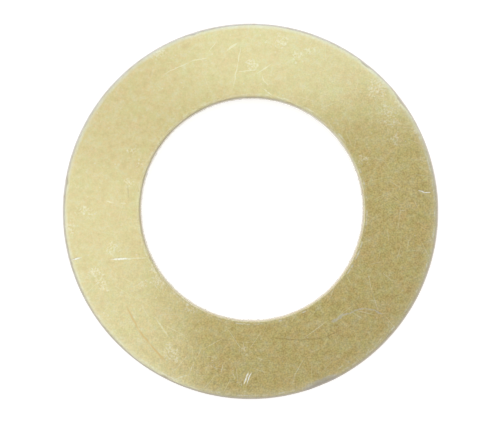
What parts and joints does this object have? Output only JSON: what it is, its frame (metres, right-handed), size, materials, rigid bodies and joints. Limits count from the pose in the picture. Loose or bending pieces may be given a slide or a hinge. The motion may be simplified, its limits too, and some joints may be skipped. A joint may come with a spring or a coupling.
{
  "type": "flat washer",
  "caption": "Plain stamped flat washer of yellow-plated steel: a thin flat ring with a round bolt hole and softly rolled upper edges.",
  "frame": {"origin": "centre of the outside edge, on the lower bearing face", "axes": "+Z along the bolt's axis, from the lower bearing face to the upper one with the rolled edges; +X towards the side where the hole's centre is 0.14 mm off the outside edge's centre, +Y towards the side where it is 0.17 mm off"},
  "size_m": [0.0334, 0.0334, 0.0016],
  "materials": {
    "plated_steel": "steel with a pale yellow chromate finish over its plating: satin, with a fine rolled grain, handling scratches, and bare silver where the edges have worn"
  },
  "bodies": {
    "root": {"washer_ring": "plated_steel"}
  },
  "joints": []
}
